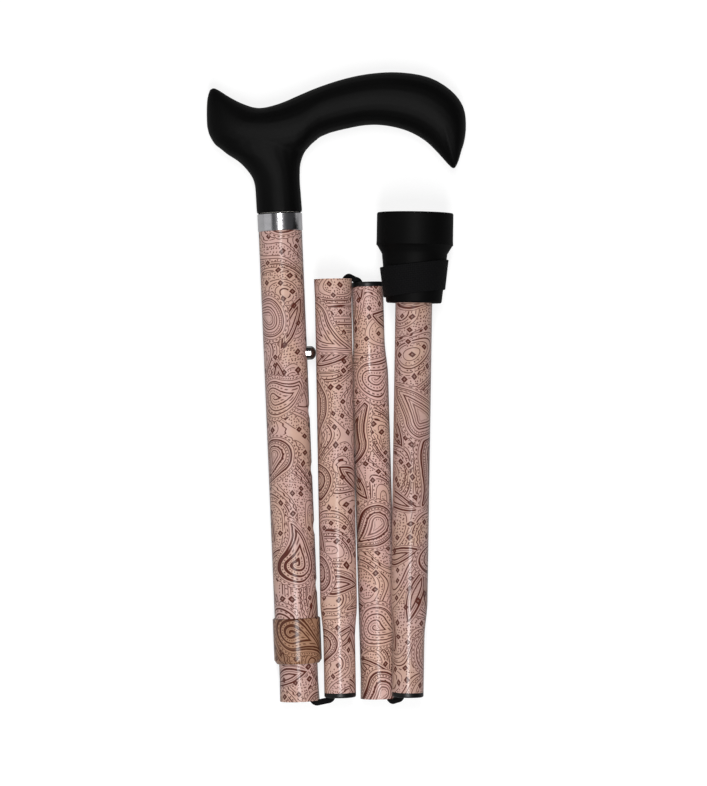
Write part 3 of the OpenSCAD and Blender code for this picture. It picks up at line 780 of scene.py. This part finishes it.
class CANE_OT_make_handle(bpy.types.Operator):
    """Softens the handle's moulded shape and coats it in matte black"""
    bl_idname = "cane.make_handle"
    bl_label = "Make Handle"

    def execute(self, context):
        sizes, black = context.scene.cane_sizes, context.scene.cane_colours.soft_touch
        piece = copied("handle_grip", "moulded_handle")
        even = piece.modifiers.new("even_cells", "REMESH")
        even.mode = "VOXEL"
        even.voxel_size = sizes.grip_voxel
        softened = piece.modifiers.new("softened", "SMOOTH")
        softened.factor = 0.5
        softened.iterations = sizes.grip_rounds
        for modifier in ("even_cells", "softened"):
            bpy.ops.object.modifier_apply(modifier=modifier)
        shape_nose(piece)
        bpy.ops.object.shade_smooth()
        finish = grained_finish("soft_touch_coat", black, toned(black, 1.8), grains=5.0, rough=(0.5, 0.62),
                                depth=0.00003, Specular_IOR_Level=0.09)
        settle(piece, "upper_shaft", "handle_grip", finish)
        return {"FINISHED"}


def domed_end(piece):
    """Rounds the snap button's end from its small edge radius to the full dome of a pressed stud."""
    low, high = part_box("snap_button")
    tip, centre = high.x, (low + high) / 2
    axis_reach, slip = 0.0001, 0.01
    for vertex in piece.data.vertices:
        off = Vector((0, vertex.co.y - centre.y, vertex.co.z - centre.z))
        climb = (vertex.co.x - tip) / EDGE_RADIUS + 1
        if climb > -slip and off.length > axis_reach:
            turn = DOME_TURN * math.asin(min(1.0, max(0.0, climb)))
            off *= STUD_RADIUS * math.cos(turn) / off.length
            vertex.co = (tip - DOME_DEPTH * (1 - math.sin(turn)), centre.y + off.y, centre.z + off.z)


class CANE_OT_finish_metal(bpy.types.Operator):
    """Finishes the ring, snap button and the hidden metal pieces"""
    bl_idname = "cane.finish_metal"
    bl_label = "Finish Metal"

    def execute(self, context):
        polished = turned_finish("polished_aluminium", (0.7, 0.69, 0.71), rough=0.19, depth=0.0000006)
        bright = grained_finish("bright_steel", (0.48, 0.47, 0.46), (0.42, 0.41, 0.4), grains=3.0,
                                rough=(0.08, 0.18), depth=0.00001, Metallic=1.0)
        plain = grained_finish("plain_metal", (0.5, 0.5, 0.51), (0.42, 0.41, 0.4), grains=2.0,
                               rough=(0.25, 0.45), depth=0.00002, Metallic=1.0)
        smoothed("handle_ring", "turned_ring", "upper_shaft", polished)
        smoothed("snap_button", "bright_button", "snap_button", bright, domed_end)
        spring = smoothed("snap_spring", "leaf_spring", "inner_shaft", plain)
        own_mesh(spring)
        for node in ("handle_screw", "ferrule_washer"):
            wear(node, plain)
        return {"FINISHED"}


class CANE_OT_finish_plastic(bpy.types.Operator):
    """Finishes the nose plugs and the hidden plastic pieces"""
    bl_idname = "cane.finish_plastic"
    bl_label = "Finish Plastic"

    def execute(self, context):
        black = grained_finish("black_plastic", (0.004, 0.004, 0.004), (0.007, 0.007, 0.007), grains=2.0,
                               rough=(0.3, 0.45), depth=0.00002, Specular_IOR_Level=0.3)
        pale = grained_finish("pale_nylon", (0.72, 0.7, 0.64), (0.66, 0.63, 0.56), grains=1.5,
                              rough=(0.35, 0.5), depth=0.00002)
        for index, body in enumerate(("second_section", "third_section", "foot_section"), 1):
            smoothed(f"nose_plug_{index}", f"moulded_plug_{index}", body, black)
        for node in ("guide_bush", "cord_anchor_upper", "cord_anchor_lower"):
            wear(node, black)
        for node in ("squeeze_ring", "handle_core"):
            wear(node, pale)
        return {"FINISHED"}


def woven_finish(name, colour, lighter, depth):
    """Woven elastic from the piece's own UV, which counts threads. Its colour is lighter on the raised
    threads, a painted sheen, and also varies with random fuzz.
    """
    material, tree, shader = new_finish(name, Sheen_Weight=0.01, Sheen_Roughness=0.4, Specular_IOR_Level=0.05)
    threads = tree.nodes.new("ShaderNodeTexCoord").outputs["UV"]
    height = placed(tree, "woven_threads", Place=threads)["Height"]
    fuzz = noise(tree, object_place(tree), 2500.0, 3.0)
    # Painted sheen: the raised threads take the lighter colour, and random fuzz lightens it as well
    tone = calc(tree, "MULTIPLY_ADD", fuzz, 0.5, calc(tree, "MULTIPLY", height, 0.6))
    feed_named(tree, shader, Base_Color=blend_colours(tree, tone, opaque(colour), opaque(lighter)),
               Roughness=calc(tree, "MULTIPLY_ADD", fuzz, 0.2, 0.6))
    raised(tree, shader, calc(tree, "MULTIPLY_ADD", fuzz, 0.15, height), depth)
    return material


def evenly(points, step):
    """The same path with points a step apart, and its length."""
    ends = [0.0]
    for before, after in zip(points, points[1:]):
        ends.append(ends[-1] + (after - before).length)
    count = max(2, round(ends[-1] / step))
    path, leg = [], 0
    for index in range(count + 1):
        want = ends[-1] * index / count
        while leg < len(points) - 2 and ends[leg + 1] < want:
            leg += 1
        share = (want - ends[leg]) / (ends[leg + 1] - ends[leg])
        path.append(points[leg].lerp(points[leg + 1], min(1.0, max(0.0, share))))
    return path, ends[-1]


def braided(name, points, diameter, step=BENT_STEP):
    """A braided cord along a path, with its UV counted in threads."""
    path, length = evenly(points, step)
    bpy.ops.object.select_all(action="DESELECT")
    bpy.ops.curve.primitive_nurbs_path_add(location=(0, 0, 0))
    piece = bpy.context.object
    piece.name = name
    curve = piece.data
    curve.splines.clear()
    spline = curve.splines.new("POLY")
    spline.points.add(len(path) - 1)
    for place, point in zip(spline.points, path):
        place.co = (*point, 1.0)
    curve.bevel_depth = diameter / 2
    curve.bevel_resolution = 5
    curve.use_fill_caps = True
    bpy.ops.object.convert(target="MESH")
    for corner in piece.data.uv_layers.active.data:
        around, along = corner.uv[0] * CORD_THREADS, corner.uv[1] * length / CORD_PITCH
        corner.uv = (around + along, around - along)
    merge_doubles()
    bpy.ops.object.shade_smooth()
    return piece


def fold_path(name, sizes):
    """Path of the cord at a fold: out of the mouth, over its rim, down to the next nose's lip and into it."""
    centre, up, across, pitch, deeper = FOLDS[name]
    centre, up, across = Vector(centre), Vector(up), Vector(across)
    pitch, lip = pitch / 1000, deeper / 1000
    near, far, turn = sizes.cord_mouth, pitch - sizes.cord_nose, FOLD_BEND - sizes.cord_drop
    quarter = [(math.sin(angle), math.cos(angle)) for angle in (math.pi * step / 16 for step in range(9))]
    flat = [(MOUTH_END, FOLD_DEEP), (near, turn)]
    flat += [(near + FOLD_BEND - FOLD_BEND * cos, turn - FOLD_BEND * sin) for sin, cos in quarter[1:]]
    flat += [(far - FOLD_BEND + FOLD_BEND * sin, turn + lip - FOLD_BEND * cos) for sin, cos in quarter]
    flat.append((pitch - NOSE_END, FOLD_DEEP + lip))
    return [centre + across * sideways + up * upward for sideways, upward in flat]


def bar_ends(node, axis):
    """Middles of the two ends of a straight CAD bar that runs roughly along an axis."""
    corners = [vertex.co.copy() for vertex in NODES[node].data.vertices]
    places = [corner.dot(Vector(axis)) for corner in corners]
    middle = (min(places) + max(places)) / 2
    ends = ([], [])
    for corner, place in zip(corners, places):
        ends[place >= middle].append(corner)
    return [sum(end, Vector()) / len(end) for end in ends]


def knot_path(node, diameter):
    """Path of a tight overhand knot that fills a CAD knot's box."""
    low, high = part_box(node)
    centre, half = (low + high) / 2, (high - low) / 2 - Vector((diameter, diameter, diameter)) / 2
    path = []
    for index in range(KNOT_STEPS + 1):
        turn = 2 * math.pi * index / KNOT_STEPS
        wide = (2 + math.cos(3 * turn)) / 3
        path.append(centre + Vector((half.x * wide * math.cos(2 * turn), half.y * math.sin(3 * turn),
                                     half.z * wide * math.sin(2 * turn))))
    return path


class CANE_OT_make_cord(bpy.types.Operator):
    """Braids the elastic cord through the sections, over the folds and into its knots"""
    bl_idname = "cane.make_cord"
    bl_label = "Make Cord"

    def execute(self, context):
        sizes = context.scene.cane_sizes
        finish = woven_finish("braided_elastic", (0.0025, 0.0025, 0.0028), (0.008, 0.008, 0.0085),
                              depth=0.00012)
        for index, body in enumerate(("inner_shaft", "link_2", "link_3"), 1):
            node = f"cord_fold_{index}"
            piece = braided("braided_" + node, fold_path(node, sizes), sizes.cord_d)
            settle(piece, body, node, finish)
            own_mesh(piece)
        for node, body, tube, joint, held in (
                ("cord_upper", "inner_shaft", "inner_tube", "engage_1", 1),
                ("cord_second", "second_section", "second_tube", "engage_2", 0),
                ("cord_third", "third_section", "third_tube", "engage_3", 1),
                ("cord_foot", "foot_section", "foot_tube", None, 0)):
            ends = bar_ends(node, TUBES[tube][2])
            piece = braided("braided_" + node, ends, sizes.cord_d, STRAIGHT_STEP)
            settle(piece, body, node, finish)
            if joint:
                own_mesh(piece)
        knotted = KNOT_SHARE * sizes.cord_d
        for node, body in (("cord_knot_upper", "inner_shaft"), ("cord_knot_lower", "foot_section")):
            piece = braided("tied_" + node, knot_path(node, knotted), knotted)
            settle(piece, body, node, finish)
        return {"FINISHED"}


def crisp_rim(piece):
    """Draws the ferrule's chamfered sole edge out to the crisp rim of moulded rubber."""
    for vertex in piece.data.vertices:
        depth = (SOLE - vertex.co).dot(SOLE_AXIS)
        out = vertex.co - SOLE + SOLE_AXIS * depth
        if depth < HEAD_HEIGHT and out.length > HEAD_FROM:
            rim = RIM_RADIUS - RIM_EASE * max(0.0, 1 - depth / RIM_EASE_DEPTH)
            vertex.co += out * (rim / out.length - 1)


class CANE_OT_make_ferrule(bpy.types.Operator):
    """Finishes the rubber ferrule"""
    bl_idname = "cane.make_ferrule"
    bl_label = "Make Ferrule"

    def execute(self, context):
        rubber = context.scene.cane_colours.rubber
        finish = grained_finish("moulded_rubber", rubber, toned(rubber, 1.5), grains=3.0, rough=(0.5, 0.65),
                                depth=0.00004, Specular_IOR_Level=0.06)
        smoothed("ferrule", "moulded_ferrule", "foot_section", finish, crisp_rim)
        return {"FINISHED"}


def wrapped(around, across, slack):
    """Place on the wrapped band, from shares of its length and width between -0.5 and 0.5."""
    right, up = Vector((SOLE_AXIS.y, -SOLE_AXIS.x, 0)), Vector((0, 0, 1))
    turn = (around + 0.5) * (2 * math.pi + BAND_OVERLAP)
    angle = turn - BAND_START
    rise = min(1.0, max(0.0, (turn - 2 * math.pi + BAND_RAMP) / BAND_RAMP))
    layer = 1.02 * BAND_THICK
    lift = BAND_ROOM + layer * rise * rise * (3 - 2 * rise)
    loose = slack * max(0.0, -math.cos(angle)) ** 2 * (1 - 2 * across) / 2
    down = BAND_DOWN + BAND_WIDE * across - SLEEVE_RADIUS * math.tan(BAND_SLANT) * math.cos(angle)
    sleeve = SLEEVE_RADIUS - (down - SLEEVE_START) * SLEEVE_NARROWS / SLEEVE_LENGTH
    radius = sleeve + lift + loose
    return SOLE - SOLE_AXIS * down + (right * math.cos(angle) + up * math.sin(angle)) * radius


class CANE_OT_make_band(bpy.types.Operator):
    """Weaves the elastic band that is wrapped round the ferrule's sleeve"""
    bl_idname = "cane.make_band"
    bl_label = "Make Band"

    def execute(self, context):
        bpy.ops.object.select_all(action="DESELECT")
        bpy.ops.mesh.primitive_grid_add(x_subdivisions=BAND_CELLS[0], y_subdivisions=BAND_CELLS[1], size=1.0,
                                        location=(0, 0, 0), calc_uvs=True)
        piece = context.object
        piece.name = "woven_band"
        for vertex in piece.data.vertices:
            vertex.co = wrapped(vertex.co.x, vertex.co.y, context.scene.cane_sizes.band_slack)
        for corner in piece.data.uv_layers.active.data:
            corner.uv = (corner.uv[0] * BAND_THREADS[0], corner.uv[1] * BAND_THREADS[1])
        shell = piece.modifiers.new("thickness", "SOLIDIFY")
        shell.thickness = BAND_THICK
        shell.offset = 1.0
        rounded = piece.modifiers.new("soft_edges", "BEVEL")
        rounded.width = BAND_EDGE
        rounded.segments = 2
        rounded.limit_method = "ANGLE"
        for modifier in ("thickness", "soft_edges"):
            bpy.ops.object.modifier_apply(modifier=modifier)
        merge_doubles()
        bpy.ops.object.shade_smooth()
        finish = woven_finish("woven_elastic", (0.0022, 0.0022, 0.0024), (0.006, 0.006, 0.0063),
                              depth=0.00015)
        settle(piece, "foot_section", "storage_band", finish)
        return {"FINISHED"}


def floor_finish():
    """White paper floor: it takes the object's shadow, and the lit part of it shows white."""
    material, tree = blank_material("studio_paper")
    paper = tree.nodes.new("ShaderNodeBsdfDiffuse")
    paper.inputs["Color"].default_value = opaque([FLOOR_TONE] * 3)
    glow = tree.nodes.new("ShaderNodeEmission")
    rays = tree.nodes.new("ShaderNodeLightPath").outputs
    mirrored = Field(tree, rays["Is Glossy Ray"]) * FLOOR_MIRRORED
    seen = mirrored.most(rays["Is Camera Ray"], rays["Is Transmission Ray"])
    feed(tree, glow.inputs["Strength"], (seen * FLOOR_GLOW).socket)
    total = tree.nodes.new("ShaderNodeAddShader")
    out = tree.nodes.new("ShaderNodeOutputMaterial")
    tree.links.new(paper.outputs["BSDF"], total.inputs[0])
    tree.links.new(glow.outputs["Emission"], total.inputs[1])
    tree.links.new(total.outputs["Shader"], out.inputs["Surface"])
    return material


def softbox(name, place, target, wide, deep, watts):
    """A rectangular soft lamp at a place, turned to a target."""
    bpy.ops.object.light_add(type="AREA", location=place)
    lamp = bpy.context.object
    lamp.name = name
    lamp.rotation_euler = (Vector(target) - Vector(place)).to_track_quat("-Z", "Y").to_euler()
    lamp.data.shape = "RECTANGLE"
    lamp.data.size = wide
    lamp.data.size_y = deep
    lamp.data.energy = watts


class CANE_OT_set_stage(bpy.types.Operator):
    """Sets the paper floor, soft lamps, world and camera"""
    bl_idname = "cane.set_stage"
    bl_label = "Set Stage"

    def execute(self, context):
        scene = context.scene
        scene.view_settings.view_transform = "Standard"
        bpy.ops.object.select_all(action="DESELECT")
        bpy.ops.mesh.primitive_plane_add(size=FLOOR_SIZE, location=FLOOR_MIDDLE)
        floor = context.object
        floor.name = "studio_floor"
        floor.data.materials.append(floor_finish())
        softbox("front_softbox", (0.05, -0.57, 1.2), (0.05, -0.37, 0.0), wide=0.36, deep=0.7, watts=11.0)
        softbox("rear_softbox", (0.03, 0.3, 1.2), (0.03, 0.1, 0.0), wide=0.27, deep=0.5, watts=6.9)
        softbox("left_softbox", (-1.35, 0.0, 0.6), (0.03, -0.08, 0.0), wide=1.8, deep=1.3, watts=3.7)
        world = bpy.data.worlds.new("studio_world")
        scene.world = world
        world.use_nodes = True
        sky = world.node_tree.nodes["Background"]
        sky.inputs["Color"].default_value = (0.95, 0.96, 1.0, 1)
        sky.inputs["Strength"].default_value = 0.05
        bpy.ops.object.camera_add(location=CAMERA_PLACE, rotation=(0, 0, CAMERA_TURN))
        camera = context.object
        camera.name = "photo_camera"
        camera.data.lens = LENS_MM
        camera.data.sensor_width = SENSOR_MM
        camera.data.clip_start = 0.01
        scene.camera = camera
        return {"FINISHED"}


class CANE_PT_looks(bpy.types.Panel):
    """Lists the steps that dress the cane"""
    bl_label = "Folding Cane"
    bl_idname = "CANE_PT_looks"
    bl_space_type = "VIEW_3D"
    bl_region_type = "UI"
    bl_category = "Cane"

    def draw(self, context):
        for settings in (context.scene.cane_sizes, context.scene.cane_colours):
            box = self.layout.box()
            for name in settings.__annotations__:
                box.prop(settings, name)
        for step in STEPS:
            self.layout.operator(step.bl_idname)


STEPS = (CANE_OT_print_tubes, CANE_OT_print_collar, CANE_OT_make_handle, CANE_OT_finish_metal,
         CANE_OT_finish_plastic, CANE_OT_make_cord, CANE_OT_make_ferrule, CANE_OT_make_band,
         CANE_OT_set_stage)
CLASSES = (CaneSizes, CaneColours, *STEPS, CANE_PT_looks)


def register():
    for item in CLASSES:
        bpy.utils.register_class(item)
    bpy.types.Scene.cane_sizes = bpy.props.PointerProperty(type=CaneSizes)
    bpy.types.Scene.cane_colours = bpy.props.PointerProperty(type=CaneColours)


def unregister():
    del bpy.types.Scene.cane_colours
    del bpy.types.Scene.cane_sizes
    for item in reversed(CLASSES):
        bpy.utils.unregister_class(item)


def main():
    register()
    bpy.ops.cane.print_tubes()
    bpy.ops.cane.print_collar()
    bpy.ops.cane.make_handle()
    bpy.ops.cane.finish_metal()
    bpy.ops.cane.finish_plastic()
    bpy.ops.cane.make_cord()
    bpy.ops.cane.make_ferrule()
    bpy.ops.cane.make_band()
    bpy.ops.cane.set_stage()
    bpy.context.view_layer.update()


if __name__ == "__main__":
    main()
